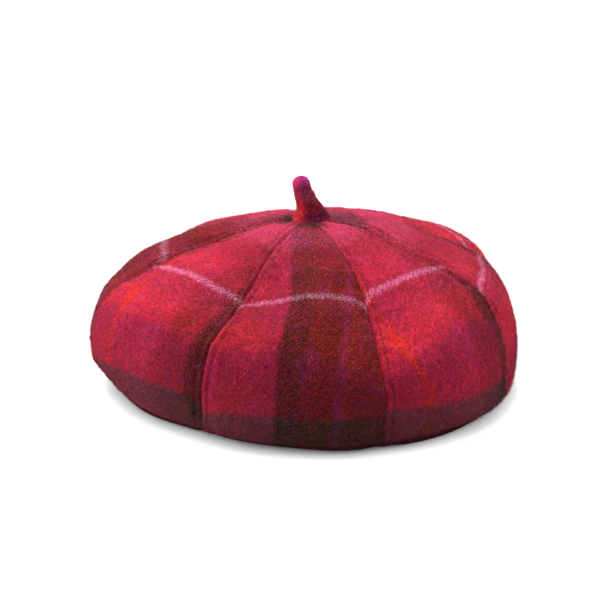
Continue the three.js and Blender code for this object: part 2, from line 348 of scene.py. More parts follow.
def even_noise(seed, low, high, count=24):
    """A smooth unevenness from -1 to 1 in space, made of waves low to high metres long."""
    random = np.random.default_rng(seed)
    directions = unit(random.normal(size=(count, 3)))
    waves = directions * (2 * math.pi / random.uniform(low, high, count))[:, None]
    phases = random.uniform(0, 2 * math.pi, count)

    def noise(points):
        total = np.zeros(points.shape[:-1])
        for wave, phase in zip(waves, phases):
            total += np.sin(points @ wave + phase)
        return total / math.sqrt(count)

    return noise


roll_noise = even_noise(11, 26 * MM, 60 * MM)
pucker_noise = even_noise(12, 0.7 * PUCKER_LENGTH, 1.6 * PUCKER_LENGTH)


def bell(distance, half_width_of_bell):
    return np.exp(-((distance / half_width_of_bell) ** 2))


def seam_relief(from_seam, along, width):
    """The relief of the seam's valley and of the topstitching's groove beside it."""
    offset = np.minimum(STITCH_OFFSET, 0.5 * width)[:, None]
    fade = np.minimum(width / (2 * STITCH_OFFSET), 1)[:, None]
    stitches = mix(1, np.cos(2 * math.pi * along / STITCH_PITCH), GROOVE_UNEVEN)
    groove = GROOVE_DEPTH * fade * stitches * bell(from_seam - offset, GROOVE_HALF_WIDTH)
    valley = SEAM_DEPTH * bell(from_seam, SEAM_HALF_WIDTH)
    return -valley - groove


# The hem tucks in a little further at the front left than the frame's plain gores do.
TUCK_REACH = 20 * MM
TUCK_BEND = 1.5
TUCK_FLAT_SHARE = 0.1
TUCK_PLACES_DEG = [-180, -62, -30, -8, 14, 180]
TUCK_DEPTHS = [0, 0, 9, 7, 0, 0]
tuck_curve = smooth_curve(TUCK_PLACES_DEG, TUCK_DEPTHS)


def tucked(points, down):
    """Points of a gore with the hem's tuck, which fades out on the flat part under the crown."""
    from_centre = points[..., :2] - OPENING_CENTRE
    angle = np.degrees(np.arctan2(from_centre[..., 0], -from_centre[..., 1]))
    distance = np.linalg.norm(from_centre, axis=-1)
    low = np.clip(1 - points[..., 2] / TUCK_REACH, 0, 1) ** TUCK_BEND
    flat = np.clip((1 - down) / TUCK_FLAT_SHARE, 0, 1)
    depth = tuck_curve(angle)[0] * MM * low * flat
    moved = points.copy()
    moved[..., :2] = OPENING_CENTRE + from_centre * (1 - depth / distance)[..., None]
    return moved


def plain_gore(index):
    """A gore's grid on the frame's surface: its points, normals and places on the cloth."""
    down = np.linspace(0, 1, GORE_ROWS + 1)
    width = half_width(index, down)
    across = column_places(width)
    points = tucked(crown_point(index, down[:, None], across), down[:, None])
    right, along = cloth_coordinates(points, across, width)
    return {
        "points": points,
        "normals": grid_normals(points),
        "right": right,
        "along": along,
        "width": width,
        "from_left": (1 + across) * width[:, None],
        "from_right": (1 - across) * width[:, None],
    }


def share_seam_normals(gores):
    """Neighbouring gores lean the same way at their seam, so that they stay joined there."""
    seams = []
    for index, gore in enumerate(gores):
        both = gores[index - 1]["normals"][:, -1] + gore["normals"][:, 0]
        seams.append(unit(both))
    for index, gore in enumerate(gores):
        at_left = bell(gore["from_left"], SEAM_BLEND)[..., None]
        at_right = bell(gore["from_right"], SEAM_BLEND)[..., None]
        right_seam = seams[(index + 1) % len(seams)]
        normals = gore["normals"] * np.maximum(1 - at_left - at_right, 0)
        normals += seams[index][:, None] * at_left + right_seam[:, None] * at_right
        gore["normals"] = unit(normals)


def shape_gore(index, gore):
    """Adds the outer face with all its relief and the inner face to a gore's grid."""
    points = gore["points"]
    from_seam = np.minimum(gore["from_left"], gore["from_right"])
    relief = seam_relief(from_seam, gore["along"], gore["width"])
    relief *= np.clip(points[..., 2] / SEAM_FADE, SEAM_LEAST, 1)
    pucker = pucker_noise(points) * bell(from_seam - STITCH_OFFSET, PUCKER_REACH)
    relief += PUCKER_HEIGHT * pucker
    fills = [SEAMS[k % len(SEAMS)].get("fill", 0) * MM for k in (index, index + 1)]
    fill = fills[0] * bell(gore["from_left"], FILL_REACH)
    fill += fills[1] * bell(gore["from_right"], FILL_REACH)
    relief += fill * bell(gore["along"] - FILL_PLACE, FILL_LENGTH)
    relief += ROLL_HEIGHT * roll_noise(points) * np.clip(points[..., 2] / ROLL_FADE, 0, 1)
    relief -= RING_NOTCH_DEPTH * bell(gore["along"], RING_NOTCH_LENGTH)
    outer = points + gore["normals"] * relief[..., None]
    outer[..., 2] = np.maximum(outer[..., 2], 0)
    inner = points - gore["normals"] * CLOTH_THICKNESS
    inner[..., 2] = np.maximum(inner[..., 2], CLOTH_THICKNESS)
    gore["outer"] = outer
    gore["inner"] = inner[::INNER_STEP, ::INNER_STEP]


def drifted(index, gore):
    """Where the plaid's stripes lie on the cloth, in metres right and down."""
    cut = GORES[index]
    drift = smooth_curve(DRIFT_PLACES, cut["drift"])(gore["along"] / MM)[0] * MM
    right = gore["right"] - drift
    # Beside the left seam the cloth is from the brown stripe, past the middle of the cut.
    edge = cut.get("edge", 0) * MM * np.clip((EDGE_END - gore["along"]) / EDGE_FADE, 0, 1)
    in_edge = gore["from_left"] < np.minimum(edge, STRIP_MOST * gore["width"][:, None])
    right = np.where(in_edge, EDGE_SHIFT + gore["from_left"], right)
    ends = np.array(cut.get("lower", [0, 0, 0, 0])) * MM
    share = gore["from_left"] / (2 * gore["width"][:, None])
    arch = cut.get("arch", 0) * MM * 4 * share * (1 - share)
    at_pale = mix(ends[0], ends[1], share) - arch
    at_band = mix(ends[2], ends[3], share)
    lower = mix(at_pale, at_band, np.clip(gore["along"] / PALE_TO_BAND - 1, 0, 1))
    # Painted shade at the hem: close to the floor the cloth map moves to the dark end of the cloth,
    # so the surface's lowest rim is dark as in a contact shadow.
    painted_hem_shade = PAINTED_HEM_SHADE_SHIFT * (1 - np.clip(gore["points"][..., 2] / PAINTED_HEM_SHADE_HEIGHT, 0, 1)) ** 0.5
    return right, gore["along"] - lower + painted_hem_shade


def border(rows, columns):
    """The grid places round a grid's edge, anticlockwise as seen from outside."""
    loop = [(row, 0) for row in range(rows)]
    loop += [(rows - 1, column) for column in range(1, columns)]
    loop += [(row, columns - 1) for row in range(rows - 2, -1, -1)]
    loop += [(0, column) for column in range(columns - 2, 0, -1)]
    return loop


def grid_faces(rows, columns, start=0):
    """The quads of a grid whose vertices begin at start, each one seen from outside."""
    faces = []
    for row in range(rows - 1):
        for column in range(columns - 1):
            here = start + row * columns + column
            faces.append((here, here + columns, here + columns + 1, here + 1))
    return faces


def add_wall(mesh_name, outer, inner, right, along):
    """A closed wall of cloth as a mesh: a fine outer face, a coarse inner one and the edge."""
    rows, columns = outer.shape[:2]
    inner_rows, inner_columns = inner.shape[:2]
    inner_start = rows * columns
    vertices = np.concatenate([outer.reshape(-1, 3), inner.reshape(-1, 3)])
    faces = grid_faces(rows, columns)
    for first, *others in grid_faces(inner_rows, inner_columns, inner_start):
        faces.append((first, *reversed(others)))
    fine = [row * columns + column for row, column in border(rows, columns)]
    coarse = [
        inner_start + row * inner_columns + column
        for row, column in border(inner_rows, inner_columns)
    ]
    for k, vertex in enumerate(coarse):
        following = coarse[(k + 1) % len(coarse)]
        span = [fine[(k * INNER_STEP + step) % len(fine)] for step in range(INNER_STEP + 1)]
        faces.append((vertex, following, *reversed(span)))
    mesh = bpy.data.meshes.new(mesh_name)
    mesh.from_pydata(vertices.tolist(), [], faces)
    outer_uv = np.stack([right, along], axis=-1) * MAP_PER_METRE
    inner_uv = outer_uv[::INNER_STEP, ::INNER_STEP]
    set_cloth_map(mesh, np.concatenate([outer_uv.reshape(-1, 2), inner_uv.reshape(-1, 2)]))
    mesh.polygons.foreach_set("use_smooth", [True] * len(mesh.polygons))
    mesh.update()
    return mesh


def set_cloth_map(mesh, places):
    """The UV map that holds each vertex's place on the cloth."""
    layer = mesh.uv_layers.new(name="Cloth")
    corners = np.zeros(len(mesh.loops), dtype=np.int32)
    mesh.loops.foreach_get("vertex_index", corners)
    layer.data.foreach_set("uv", places[corners].ravel().astype(np.float32))


def add_object(name, data):
    thing = bpy.data.objects.new(name, data)
    bpy.context.scene.collection.objects.link(thing)
    return thing


def add_piece(name, mesh, material, nodes=()):
    """A piece of the hat, which rides on its one body and stands for the frame's nodes."""
    piece = add_object(name, mesh)
    if material:
        mesh.materials.append(material)
    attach(piece, "root")
    if nodes:
        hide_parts(*nodes)


def linear(colour):
    """A colour chosen as the eye sees it, from 0 to 255, as the shader's linear values."""
    shares = np.asarray(colour, float) / 255
    low = shares / 12.92
    high = ((shares + 0.055) / 1.055) ** 2.4
    return [*np.where(shares <= 0.04045, low, high).tolist(), 1.0]


# Yarn colours, as the eye sees them
YARNS = {
    "pink": (146, 28, 53),
    "crimson": (124, 25, 39),
    "wine": (95, 19, 31),
    "orange_red": (166, 33, 26),
    "violet": (78, 22, 48),
    "brown": (32, 16, 7),
    "rust": (52, 16, 8),
    "rust_red": (64, 19, 11),
    # rose is partly painted highlight, its colour matched to the crown's lit top; stray fibres take
    # it too
    "rose": (146, 46, 70),
    "scarlet": (140, 27, 38),
    "lilac": (178, 114, 146),
    "plum": (112, 22, 48),
    "aubergine": (42, 12, 24),
    "heather": (132, 42, 62),
    "magenta": (176, 44, 118),
    "slate": (38, 42, 40),
    "pale": (168, 80, 90),
    # Not a yarn: a near-black that is painted shade along the hem next to the floor
    "painted_shade_dark": (24, 8, 12),
    "thread": (74, 10, 24),
    "tan": (98, 33, 27),
}

# The stripes of each cut across the cloth: to is the stripe's right edge in millimetres from the
# middle of the gore, and soft how far it blends into the next one.
WARPS = {
    RED: [
        {"to": -31, "yarn": "pink", "soft": 4},
        {"to": -25, "yarn": "orange_red", "soft": 4},
        {"to": 16, "yarn": "pink", "soft": 18},
        {"to": 37, "yarn": "wine", "soft": 3},
        {"to": 40, "yarn": "rust", "soft": 4},
        {"to": 56, "yarn": "brown", "soft": 2},
        {"to": 75, "yarn": "tan", "soft": 2},
    ],
    BROWN: [
        {"to": -44, "yarn": "pink", "soft": 3},
        {"to": -20, "yarn": "crimson", "soft": 8},
        {"to": -9, "yarn": "plum", "soft": 3},
        {"to": 6, "yarn": "brown", "soft": 4},
        {"to": 25.5, "yarn": "rust", "soft": 3},
        {"to": 29.5, "yarn": "violet", "soft": 3},
        {"to": 75, "yarn": "rust_red", "soft": 2},
    ],
}

# The stripes down the cloth, the same on every gore: to is in millimetres from the stalk ring, and
# cover is how far the weft yarn hides the warp that it crosses.
WEFTS = [
    {"to": 6, "yarn": "slate", "cover": 0.4, "soft": 6},
    # Partly painted highlight: this stripe's colour is that of the crown's lit top, which looks
    # pinker where the light falls on it
    {"to": 34, "yarn": "rose", "cover": 0.7, "soft": 16},
    {"to": 56, "yarn": "crimson", "cover": 0.72, "soft": 10},
    {"to": 74, "yarn": "scarlet", "cover": 0.4, "soft": 10},
    {"to": 80.2, "yarn": "crimson", "cover": 0.65, "soft": 1.6},
    {"to": 84, "yarn": "lilac", "cover": 0.58, "soft": 1.8},
    {"to": 104, "yarn": "crimson", "cover": 0.52, "soft": 12},
    {"to": 122, "yarn": "orange_red", "cover": 0.3, "soft": 12},
    {"to": 142, "yarn": "plum", "cover": 0.5, "soft": 16},
    {"to": 162, "yarn": "crimson", "cover": 0.5, "soft": 4},
    {"to": 206, "yarn": "slate", "cover": 0.5, "soft": 6},
    # Painted shade: the cloth's dark end, which only the hem's lowest rim and its nap take
    {"to": 240, "yarn": "painted_shade_dark", "cover": 0.9, "soft": 2},
]
WARP_SPAN = (-75, 75)
WEFT_SPAN = (0, 240)


class Nodes:
    """Adds shader nodes to a tree, each with its inputs given by name or number."""

    def __init__(self, tree):
        self.tree = tree

    def add(self, kind, inputs=(), **settings):
        node = self.tree.nodes.new(kind)
        for name, value in settings.items():
            setattr(node, name, value)
        for key, value in dict(inputs).items():
            socket = node.inputs[key]
            if isinstance(value, bpy.types.NodeSocket):
                self.tree.links.new(value, socket)
            else:
                socket.default_value = value
        return node

    def math(self, operation, *values):
        return self.add("ShaderNodeMath", dict(enumerate(values)), operation=operation).outputs[0]

    def vector_math(self, operation, inputs):
        return self.add("ShaderNodeVectorMath", inputs, operation=operation).outputs[0]

    def bump(self, height, strength, distance):
        inputs = {"Strength": strength, "Distance": distance, "Height": height}
        return self.add("ShaderNodeBump", inputs).outputs[0]

    def finish(self, inputs):
        """The material's shader, with its inputs given by name."""
        shader = self.add("ShaderNodeBsdfPrincipled", inputs)
        self.add("ShaderNodeOutputMaterial", {0: shader.outputs[0]})

    def noise(self, vector, scale, detail=2.0, roughness=0.5, distortion=0.0):
        inputs = {
            "Vector": vector,
            "Scale": scale,
            "Detail": detail,
            "Roughness": roughness,
            "Distortion": distortion,
        }
        return self.add("ShaderNodeTexNoise", inputs)

    def mix_colour(self, share, first, second, blend="MIX"):
        inputs = {0: share, 6: first, 7: second}
        settings = {"data_type": "RGBA", "blend_type": blend}
        return self.add("ShaderNodeMix", inputs, **settings).outputs[2]

    def step(self, value, low, high):
        """0 below low, 1 above high and smooth between them."""
        inputs = {0: value, 1: low, 2: high, 3: 0.0, 4: 1.0}
        return self.add("ShaderNodeMapRange", inputs, interpolation_type="SMOOTHSTEP").outputs[0]

    def ramp(self, value, stops):
        """A colour ramp through stops of a place from 0 to 1 and a colour with alpha."""
        node = self.add("ShaderNodeValToRGB", {0: value})
        elements = node.color_ramp.elements
        while len(elements) > 1:
            elements.remove(elements[-1])
        for k, (place, colour) in enumerate(stops):
            element = elements[0] if k == 0 else elements.new(place)
            element.position = place
            element.color = colour
        return node


def stripe_stops(stripes, span):
    """Ramp stops for a table of stripes: each edge is a blend as wide as its soft value."""
    low, high = span
    colours = []
    for stripe in stripes:
        *colour, _ = linear(YARNS[stripe["yarn"]])
        colours.append((*colour, stripe.get("cover", 1.0)))
    stops = [(0.0, colours[0])]
    for stripe, before, after in zip(stripes, colours, colours[1:]):
        for side, colour in ((-0.5, before), (0.5, after)):
            place = (stripe["to"] + side * stripe["soft"] - low) / (high - low)
            stops.append((place, colour))
    return stops


# Flecks of other fibres in the heathered yarns: scale is in flecks a millimetre, shift moves their
# pattern, from and to say how rare they are, and most how strong.
FLECKS = [
    {"colour": (104, 26, 84), "scale": 0.09, "shift": 31.7, "from": 0.5, "to": 0.66, "most": 0.16},
    {"colour": (190, 66, 96), "scale": 0.9, "shift": 3.1, "from": 0.58, "to": 0.72, "most": 0.25},
    {"colour": (30, 7, 11), "scale": 0.7, "shift": 7.7, "from": 0.52, "to": 0.68, "most": 0.45},
    {"colour": (96, 22, 74), "scale": 0.45, "shift": 12.3, "from": 0.58, "to": 0.72, "most": 0.15},
    {"colour": (172, 34, 26), "scale": 0.75, "shift": 18.9, "from": 0.56, "to": 0.7, "most": 0.3},
    {"colour": (58, 46, 22), "scale": 0.6, "shift": 25.1, "from": 0.58, "to": 0.72, "most": 0.3},
]
# Lighter and darker places in the nap, coarse to fine
GRAINS = [
    {"scale": 0.07, "least": 0.84, "most": 1.16},
    {"scale": 0.3, "least": 0.78, "most": 1.22},
    {"scale": 0.9, "least": 0.5, "most": 1.55},
]
# Fibres that cross the stripes' edges make them uneven, by up to reach on the cloth map.
WOBBLES = [
    {"scale": 0.25, "reach": 0.05},
    {"scale": 0.9, "reach": 0.05},
]
# The twill's ribs in millimetres, and how far they and the nap's blotches change the weft's cover
TWILL_PITCH = 3.1
RIB_COVER = 0.28
BLOTCH_SCALE = 0.8
COVER_LIMITS = (0.05, 0.95)
# The nap's fibres lie aslant to the weave and are longer than they are wide.
HAIR_TURN = 0.6
HAIR_STRETCH = (1.0, 0.6, 1.0)
# The finest relief
HAIR_SCALE = 1.3
RIB_RELIEF = 0.1
BUMP_HEIGHT = 0.7 * MM


def bare_material(name):
    """A new material with no nodes, and what adds nodes to it."""
    material = bpy.data.materials.new(name)
    material.use_nodes = True
    material.node_tree.nodes.clear()
    return material, Nodes(material.node_tree)


def stripe_ramp(nodes, place, stripes, span):
    """The stripes' colours and cover at a place across or down the cloth map."""
    inputs = {0: place, 1: span[0] / MM_PER_MAP, 2: span[1] / MM_PER_MAP, 3: 0.0, 4: 1.0}
    share = nodes.add("ShaderNodeMapRange", inputs).outputs[0]
    return nodes.ramp(share, stripe_stops(stripes, span))


def plaid_material(name, warps, wefts=WEFTS):
    """Brushed wool plaid. Where a weft yarn covers a warp yarn their colours mix as dyes do, and
    stray fibres of other colours lie over both."""
    material, nodes = bare_material(name)
    place = nodes.add("ShaderNodeUVMap", uv_map="Cloth").outputs[0]
    moved = place
    for wobble in WOBBLES:
        shift = nodes.noise(place, wobble["scale"] * MM_PER_MAP, 3, 0.7).outputs["Color"]
        centred = nodes.vector_math("SUBTRACT", {0: shift, 1: (0.5, 0.5, 0.5)})
        scaled = nodes.vector_math("SCALE", {0: centred, "Scale": wobble["reach"]})
        moved = nodes.vector_math("ADD", {0: moved, 1: scaled})
    parts = nodes.add("ShaderNodeSeparateXYZ", {0: moved})
    right = parts.outputs[0]
    down = parts.outputs[1]
    warp = stripe_ramp(nodes, right, warps, WARP_SPAN)
    weft = stripe_ramp(nodes, down, wefts, WEFT_SPAN)

    # The ribs show where weft and warp differ.
    slant = nodes.math("ADD", right, down)
    ribs = nodes.math("SINE", nodes.math("MULTIPLY", slant, 2 * math.pi * MM_PER_MAP / TWILL_PITCH))
    blotch = nodes.noise(place, BLOTCH_SCALE * MM_PER_MAP, 2, 0.6).outputs[0]
    cover = nodes.math("ADD", weft.outputs[1], nodes.math("MULTIPLY", ribs, RIB_COVER))
    cover = nodes.math("ADD", cover, nodes.math("SUBTRACT", blotch, 0.5))
    inputs = {0: cover, 1: COVER_LIMITS[0], 2: COVER_LIMITS[1]}
    cover = nodes.add("ShaderNodeClamp", inputs).outputs[0]
    bare = nodes.math("SUBTRACT", 1.0, cover)
    warp_part = nodes.add("ShaderNodeGamma", {0: warp.outputs[0], 1: bare}).outputs[0]
    weft_part = nodes.add("ShaderNodeGamma", {0: weft.outputs[0], 1: cover}).outputs[0]
    colour = nodes.mix_colour(1.0, warp_part, weft_part, "MULTIPLY")

    # Flecks of other fibres
    inputs = {0: place, 2: (0, 0, HAIR_TURN), 3: HAIR_STRETCH}
    hairs = nodes.add("ShaderNodeMapping", inputs, vector_type="POINT").outputs[0]
    for fleck in FLECKS:
        shifted = nodes.vector_math("ADD", {0: hairs, 1: (fleck["shift"],) * 3})
        grain = nodes.noise(shifted, fleck["scale"] * MM_PER_MAP, 3, 0.65, 0.6).outputs[0]
        share = nodes.math("MULTIPLY", nodes.step(grain, fleck["from"], fleck["to"]), fleck["most"])
        colour = nodes.mix_colour(share, colour, linear(fleck["colour"]))
    light = 1.0
    for grain in GRAINS:
        tone = nodes.noise(hairs, grain["scale"] * MM_PER_MAP, 3, 0.6).outputs[0]
        inputs = {0: tone, 1: 0.3, 2: 0.7, 3: grain["least"], 4: grain["most"]}
        light = nodes.math("MULTIPLY", nodes.add("ShaderNodeMapRange", inputs).outputs[0], light)
    grey = nodes.add("ShaderNodeCombineColor", {0: light, 1: light, 2: light}).outputs[0]
    colour = nodes.mix_colour(1.0, colour, grey, "MULTIPLY")

    # The nap's fibres and the ribs as relief
    nap = nodes.noise(hairs, HAIR_SCALE * MM_PER_MAP, 4, 0.75, 0.8).outputs[0]
    relief = nodes.math("ADD", nap, nodes.math("MULTIPLY", ribs, RIB_RELIEF))
    nodes.finish(
        {
            "Base Color": colour,
            "Roughness": 0.95,
            "Specular IOR Level": 0.0,
            "Sheen Weight": 0.05,
            "Sheen Roughness": 0.45,
            "Sheen Tint": (1.0, 0.4, 0.45, 1.0),
            "Normal": nodes.bump(relief, 1.0, BUMP_HEIGHT),
        }
    )
    return material


# The nap: short fibres brushed up from the yarns, each the colour of the warp or the weft yarn
# that it comes from, and a few stray ones
NAP_PER_GORE = 15500
NAP_LENGTH = (1.0 * MM, 4.0 * MM)
NAP_HALF_WIDTH = 0.07 * MM
NAP_LIFT = (0.02, 0.95)
NAP_ROOT_DEPTH = 0.15 * MM
NAP_SEED = 100
STRAY_SHARE = 0.1
STRAY_YARNS = ["rose", "violet", "orange_red", "rust"]


def yarn_numbers(names):
    """Where each yarn stands in YARNS."""
    return np.array([list(YARNS).index(name) for name in names])


def yarn_at(random, stripes, places):
    """The number in YARNS of the yarn at each place, in metres, and that of its stripe. Yarns mix
    where the stripes' edges blend."""
    edges = np.array([stripe["to"] for stripe in stripes[:-1]]) * MM
    soft = np.array([stripe["soft"] for stripe in stripes]) * MM
    numbers = yarn_numbers([stripe["yarn"] for stripe in stripes])
    near = np.searchsorted(edges, places)
    found = np.searchsorted(edges, places + random.uniform(-0.5, 0.5, places.shape) * soft[near])
    return numbers[found], found


def fibre_yarns(random, warps, wefts, right, along):
    """The number in YARNS of each fibre's yarn: the warp's, the weft's or a stray one."""
    warp, _ = yarn_at(random, warps, right)
    weft, weft_stripe = yarn_at(random, wefts, along)
    cover = np.array([stripe["cover"] for stripe in wefts])[weft_stripe]
    yarns = np.where(random.random(right.shape) < cover, weft, warp)
    stray = random.choice(yarn_numbers(STRAY_YARNS), right.shape)
    return np.where(random.random(right.shape) < STRAY_SHARE, stray, yarns)


def scattered(random, grid, count):
    """Evenly scattered places on a grid of points: for each, its cell and its shares in it."""
    right_edges = np.linalg.norm(grid[:-1, 1:] - grid[:-1, :-1], axis=2)
    down_edges = np.linalg.norm(grid[1:, :-1] - grid[:-1, :-1], axis=2)
    areas = (right_edges * down_edges).ravel()
    cells = random.choice(len(areas), count, p=areas / areas.sum())
    rows, columns = np.divmod(cells, grid.shape[1] - 1)
    shares = random.random((2, count))

    def take(values):
        down_share, right_share = shares[..., None] if values.ndim == 3 else shares
        upper = mix(values[rows, columns], values[rows, columns + 1], right_share)
        lower = mix(values[rows + 1, columns], values[rows + 1, columns + 1], right_share)
        return mix(upper, lower, down_share)

    return take


def tangents(random, normals):
    """A random direction along the surface at each normal."""
    loose = random.normal(size=normals.shape)
    loose -= normals * (loose * normals).sum(axis=1, keepdims=True)
    return unit(loose)


def aside(ahead, reference):
    """Two directions at right angles to each way ahead, found from a reference beside it."""
    side = unit(np.cross(ahead, np.roll(reference, 1, axis=-1) + (0.3, 0.2, 0.1)))
    return side, np.cross(ahead, side)


def brushed_up(random, normals):
    """Directions of nap fibres: each leans a random way off the surface."""
    lifts = random.uniform(*NAP_LIFT, len(normals))[:, None]
    return tangents(random, normals) * np.cos(lifts) + normals * np.sin(lifts)


def spike_mesh(name, roots, directions, lengths, yarns):
    """Thin closed spikes, one for each root, with each yarn's faces in that yarn's material."""
    count = len(roots)
    side, other = aside(directions, directions)
    corners = []
    for turn in (0, 2 * math.pi / 3, 4 * math.pi / 3):
        corners.append(roots + NAP_HALF_WIDTH * (side * math.cos(turn) + other * math.sin(turn)))
    corners.append(roots + directions * lengths[:, None])
    vertices = np.stack(corners, axis=1).reshape(-1, 3)
    pattern = np.array([[0, 1, 3], [1, 2, 3], [2, 0, 3], [0, 2, 1]])
    faces = (np.arange(count)[:, None, None] * 4 + pattern[None]).reshape(-1, 3)
    return triangle_mesh(name, vertices, faces, yarns, len(pattern))


def triangle_mesh(name, vertices, faces, yarns, faces_each):
    """A mesh of many small closed pieces, each with faces_each faces and the colour of its yarn."""
    mesh = bpy.data.meshes.new(name)
    mesh.vertices.add(len(vertices))
    mesh.vertices.foreach_set("co", vertices.ravel())
    mesh.loops.add(faces.size)
    mesh.loops.foreach_set("vertex_index", faces.ravel())
    mesh.polygons.add(len(faces))
    mesh.polygons.foreach_set("loop_start", np.arange(len(faces)) * 3)
    used = np.unique(yarns)
    for number in used:
        mesh.materials.append(yarn_material(list(YARNS)[number]))
    slots = np.searchsorted(used, yarns)
    mesh.polygons.foreach_set("material_index", np.repeat(slots, faces_each))
    mesh.update()
    mesh.validate()
    return mesh


def yarn_material(yarn):
    """The plain colour of one yarn's loose fibres."""
    name = "fibre_" + yarn
    if name in bpy.data.materials:
        return bpy.data.materials[name]
    material, nodes = bare_material(name)
    nodes.finish({"Base Color": linear(YARNS[yarn]), "Roughness": 0.8, "Specular IOR Level": 0.2})
    return material


# Long loose fibres that lie over the nap in shallow arcs
LONG_PER_GORE = 230
LONG_LENGTH = (3 * MM, 9 * MM)
LONG_HALF_WIDTH = 0.045 * MM
LONG_HEIGHT = (0.3 * MM, 1.2 * MM)
LONG_BEND = 0.7
LONG_WIDTHS = [1, 1, 1, 0.9, 0.7, 0.3]
LONG_LIFT = 1 * MM
LONG_SIDES = 3
LONG_SEED = 200
LONG_YARNS = ["pale", "rose", "rose", "orange_red", "crimson", "rust"]


def tube_mesh(name, paths, half_widths, sides, yarns):
    """Closed tubes, one along each path of points, with half_widths at the path's points."""
    count, steps = paths.shape[:2]
    ahead = unit(np.gradient(paths, axis=1))
    side, other = aside(ahead, ahead[:, :1])
    turns = 2 * math.pi * np.arange(sides)[:, None] / sides
    round_about = side[:, :, None] * np.cos(turns) + other[:, :, None] * np.sin(turns)
    vertices = paths[:, :, None] + round_about * np.asarray(half_widths)[None, :, None, None]
    faces = []
    for step in range(steps - 1):
        for k in range(sides):
            here = step * sides + k
            beside = step * sides + (k + 1) % sides
            faces.append((here, beside, beside + sides))
            faces.append((here, beside + sides, here + sides))
    for k in range(1, sides - 1):
        faces.append((0, k + 1, k))
        last = (steps - 1) * sides
        faces.append((last, last + k, last + k + 1))
    pattern = np.array(faces)
    all_faces = (np.arange(count)[:, None, None] * steps * sides + pattern[None]).reshape(-1, 3)
    return triangle_mesh(name, vertices.reshape(-1, 3), all_faces, yarns, len(pattern))


def add_long_fibres(index, gore):
    random = np.random.default_rng(LONG_SEED + index)
    take = scattered(random, gore["outer"], LONG_PER_GORE)
    roots = take(gore["outer"])
    normals = unit(take(gore["normals"]))
    directions = tangents(random, normals)
    bends = random.uniform(-LONG_BEND, LONG_BEND, LONG_PER_GORE)[:, None]
    bends = np.cross(normals, directions) * bends
    lengths = random.uniform(*LONG_LENGTH, LONG_PER_GORE)[:, None, None]
    heights = random.uniform(*LONG_HEIGHT, LONG_PER_GORE)[:, None, None]
    share = np.linspace(0, 1, len(LONG_WIDTHS))[None, :, None]
    paths = roots[:, None] + lengths * (share * directions[:, None] + share**2 * bends[:, None])
    paths += normals[:, None] * (heights * 4 * share * (1 - share) - NAP_ROOT_DEPTH)
    kept = (paths[..., 2] > LONG_LIFT).all(axis=1)
    name = GORES[index]["name"] + "_fibres"
    widths = LONG_HALF_WIDTH * np.array(LONG_WIDTHS)
    yarns = random.choice(yarn_numbers(LONG_YARNS), LONG_PER_GORE)
    mesh = tube_mesh(name, paths[kept], widths, LONG_SIDES, yarns[kept])
    add_piece(name, mesh, None)


STITCH_LENGTH = 2.3 * MM
STITCH_RADIUS = 0.36 * MM
STITCH_SINK = 0.05 * MM
STITCH_ENDS = (7 * MM, 205 * MM)
STITCH_SIDES = 6
# A stitch from end to end, as shares of its length, its sink and its radius
STITCH_POINTS = [
    {"share": 0, "sink": 4, "radius": 0.5},
    {"share": 0.25, "sink": 1, "radius": 1},
    {"share": 0.75, "sink": 1, "radius": 1},
    {"share": 1, "sink": 4, "radius": 0.5},
]


def line_distances(line):
    """How far along a line of points each of them lies."""
    return np.concatenate([[0], np.cumsum(np.linalg.norm(np.diff(line, axis=0), axis=1))])


def along_line(line, distances, at):
    """The points at distances at along a line of points."""
    return np.stack([np.interp(at, distances, line[:, axis]) for axis in range(3)], axis=-1)


def add_stitches(index, gore):
    """Topstitching beside both seams of a gore, as one piece of short sunk stitches."""
    offset = np.minimum(STITCH_OFFSET, 0.5 * gore["width"])
    starts = np.arange(*STITCH_ENDS, STITCH_PITCH)
    lines = []
    for side, seam in (("from_left", 0), ("from_right", -1)):
        line = []
        for row, distance in enumerate(offset):
            order = np.argsort(gore[side][row])
            line.append(along_line(gore["outer"][row, order], gore[side][row][order], distance))
        line = np.array(line)
        distances = line_distances(line)
        stitches = []
        for point in STITCH_POINTS:
            at = starts + point["share"] * STITCH_LENGTH
            lean = along_line(gore["normals"][:, seam], distances, at)
            stitches.append(along_line(line, distances, at) - lean * STITCH_SINK * point["sink"])
        lines.append(np.stack(stitches, axis=1))
    both = np.concatenate(lines)
    both = both[(both[..., 2] > STITCH_RADIUS).all(axis=1)]
    yarns = np.repeat(yarn_numbers(["thread"]), len(both))
    widths = STITCH_RADIUS * np.array([point["radius"] for point in STITCH_POINTS])
    name = GORES[index]["name"] + "_stitches"
    mesh = tube_mesh(name, both, widths, STITCH_SIDES, yarns)
    add_piece(name, mesh, None)


def add_nap(index, gore, right, along):
    random = np.random.default_rng(NAP_SEED + index)
    take = scattered(random, gore["outer"], NAP_PER_GORE)
    roots = take(gore["outer"])
    normals = unit(take(gore["normals"]))
    yarns = fibre_yarns(random, WARPS[GORES[index]["slot"]], WEFTS, take(right), take(along))
    directions = brushed_up(random, normals)
    lengths = random.uniform(*NAP_LENGTH, len(roots))
    above_floor = roots[:, 2] > NAP_LENGTH[1]
    kept = above_floor | (directions[:, 2] > 0)
    name = GORES[index]["name"] + "_nap"
    roots = roots - normals * NAP_ROOT_DEPTH
    spikes = [values[kept] for values in (roots, directions, lengths, yarns)]
    mesh = spike_mesh(name, *spikes)
    add_piece(name, mesh, None)


